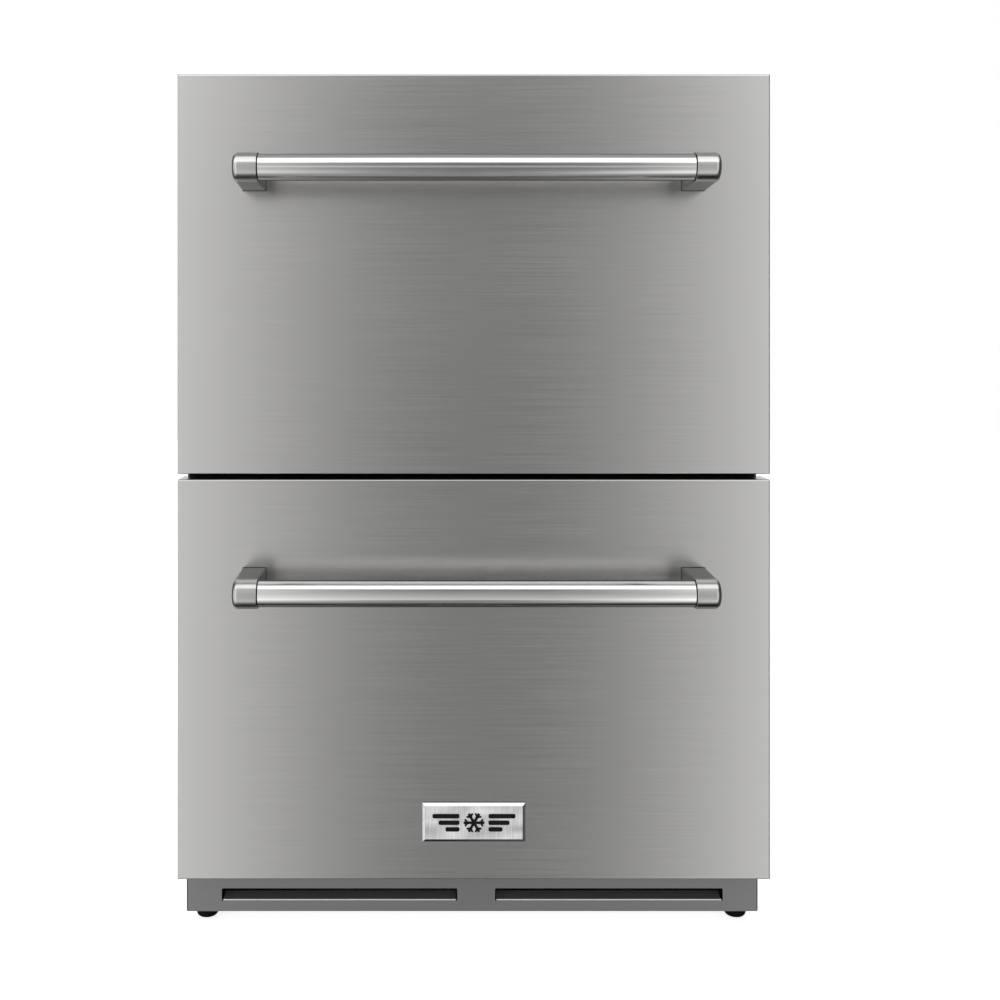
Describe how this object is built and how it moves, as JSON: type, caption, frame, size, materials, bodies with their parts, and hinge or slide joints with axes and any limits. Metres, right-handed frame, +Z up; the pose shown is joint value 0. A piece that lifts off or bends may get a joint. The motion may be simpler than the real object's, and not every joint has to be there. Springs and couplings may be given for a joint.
{
  "type": "under counter refrigerator",
  "caption": "Under-counter refrigerator: insulated cabinet with full-width pull-out drawers, bar handles, kick grille and levelling feet.",
  "frame": {"origin": "on the floor, at the middle of the overall width and depth, handles included", "axes": "+Z up, +X to the right of a person facing the drawers, +Y from the drawer fronts to the back"},
  "size_m": [0.595, 0.6844, 0.876],
  "materials": {
    "stainless_front": "satin",
    "stainless_handle": "polished",
    "badge_metal": "polished",
    "casing": "satin",
    "galvanised": "matte",
    "kick_steel": "satin",
    "foam": "matte",
    "liner_white": "gloss",
    "gasket_grey": "matte",
    "black_plastic": "satin",
    "bin_plastic": "gloss",
    "zinc_steel": "satin",
    "black_enamel": "gloss",
    "copper": "satin",
    "fin_aluminium": "satin",
    "lens": "gloss",
    "rubber": "matte"
  },
  "bodies": {
    "cabinet": {"back_panel": "galvanised", "base_pan": "galvanised", "cabinet_insulation": "foam", "capillary_tube": "copper", "compressor": "black_enamel", "compressor_grommets": "rubber", "compressor_terminal_box": "black_plastic", "condenser_coil": "fin_aluminium", "condenser_fan_motor": "black_enamel", "condenser_fan_shroud": "black_plastic", "control_housing": "black_plastic", "discharge_line": "copper", "drain_pan": "black_plastic", "drain_tube": "rubber", "evaporator_coil": "fin_aluminium", "evaporator_cover": "liner_white", "evaporator_fan_motor": "black_enamel", "filter_drier": "copper", "front_mullion": "black_plastic", "inner_liner": "liner_white", "interior_lamp": "lens", "kick_grille": "kick_steel", "lower_rail_outers": "zinc_steel", "mains_gland": "black_plastic", "outer_wrapper": "casing", "panel_screws": "zinc_steel", "service_cover": "galvanised", "step_panel": "galvanised", "suction_line": "copper", "upper_rail_outers": "zinc_steel"},
    "upper_drawer": {"upper_bin": "bin_plastic", "upper_front_foam": "foam", "upper_front_inner_panel": "liner_white", "upper_front_skin": "stainless_front", "upper_gasket": "gasket_grey", "upper_handle_bar": "stainless_handle", "upper_handle_brackets": "stainless_handle", "upper_handle_screws": "zinc_steel", "upper_rail_inners": "zinc_steel"},
    "upper_slide_middles": {"upper_rail_middles": "zinc_steel"},
    "lower_drawer": {"lower_bin": "bin_plastic", "lower_front_foam": "foam", "lower_front_inner_panel": "liner_white", "lower_front_skin": "stainless_front", "lower_gasket": "gasket_grey", "lower_handle_bar": "stainless_handle", "lower_handle_brackets": "stainless_handle", "lower_handle_screws": "zinc_steel", "lower_rail_inners": "zinc_steel", "badge_plate": "badge_metal"},
    "lower_slide_middles": {"lower_rail_middles": "zinc_steel"},
    "foot_front_left": {"levelling_foot_front_left": "black_plastic"},
    "foot_front_right": {"levelling_foot_front_right": "black_plastic"},
    "foot_rear_left": {"levelling_foot_rear_left": "black_plastic"},
    "foot_rear_right": {"levelling_foot_rear_right": "black_plastic"},
    "condenser_fan": {"condenser_fan_blade": "black_plastic"},
    "evaporator_fan": {"evaporator_fan_blade": "black_plastic"},
    "power_button": {"button_power": "black_plastic"},
    "colder_button": {"button_colder": "black_plastic"},
    "warmer_button": {"button_warmer": "black_plastic"}
  },
  "joints": [
    {"name": "upper_drawer_slide", "type": "slide", "parent": "cabinet", "child": "upper_drawer", "axis": [0, -1, 0], "range_m": [0, 0.41]},
    {"name": "upper_middles_slide", "type": "slide", "parent": "cabinet", "child": "upper_slide_middles", "axis": [0, -1, 0], "range_m": [0, 0.205]},
    {"name": "lower_drawer_slide", "type": "slide", "parent": "cabinet", "child": "lower_drawer", "axis": [0, -1, 0], "range_m": [0, 0.41]},
    {"name": "lower_middles_slide", "type": "slide", "parent": "cabinet", "child": "lower_slide_middles", "axis": [0, -1, 0], "range_m": [0, 0.205]},
    {"name": "foot_front_left_screw", "type": "slide", "parent": "cabinet", "child": "foot_front_left", "axis": [0, 0, -1], "range_m": [0, 0.02]},
    {"name": "foot_front_right_screw", "type": "slide", "parent": "cabinet", "child": "foot_front_right", "axis": [0, 0, -1], "range_m": [0, 0.02]},
    {"name": "foot_rear_left_screw", "type": "slide", "parent": "cabinet", "child": "foot_rear_left", "axis": [0, 0, -1], "range_m": [0, 0.02]},
    {"name": "foot_rear_right_screw", "type": "slide", "parent": "cabinet", "child": "foot_rear_right", "axis": [0, 0, -1], "range_m": [0, 0.02]},
    {"name": "condenser_fan_spin", "type": "hinge", "parent": "cabinet", "child": "condenser_fan", "pos_m": [-0.194, 0.24225, 0.132], "axis": [1, 0, 0], "continuous": true},
    {"name": "evaporator_fan_spin", "type": "hinge", "parent": "cabinet", "child": "evaporator_fan", "pos_m": [0, 0.24125, 0.765], "axis": [0, 1, 0], "continuous": true},
    {"name": "power_button_press", "type": "slide", "parent": "cabinet", "child": "power_button", "axis": [0, 1, 0], "range_m": [0, 0.0008], "stiffness_N_per_m": 1500},
    {"name": "colder_button_press", "type": "slide", "parent": "cabinet", "child": "colder_button", "axis": [0, 1, 0], "range_m": [0, 0.0008], "stiffness_N_per_m": 1500},
    {"name": "warmer_button_press", "type": "slide", "parent": "cabinet", "child": "warmer_button", "axis": [0, 1, 0], "range_m": [0, 0.0008], "stiffness_N_per_m": 1500}
  ],
  "couplings": [
    {"joint": "upper_middles_slide", "follows": "upper_drawer_slide", "ratio": 0.5},
    {"joint": "lower_middles_slide", "follows": "lower_drawer_slide", "ratio": 0.5}
  ]
}
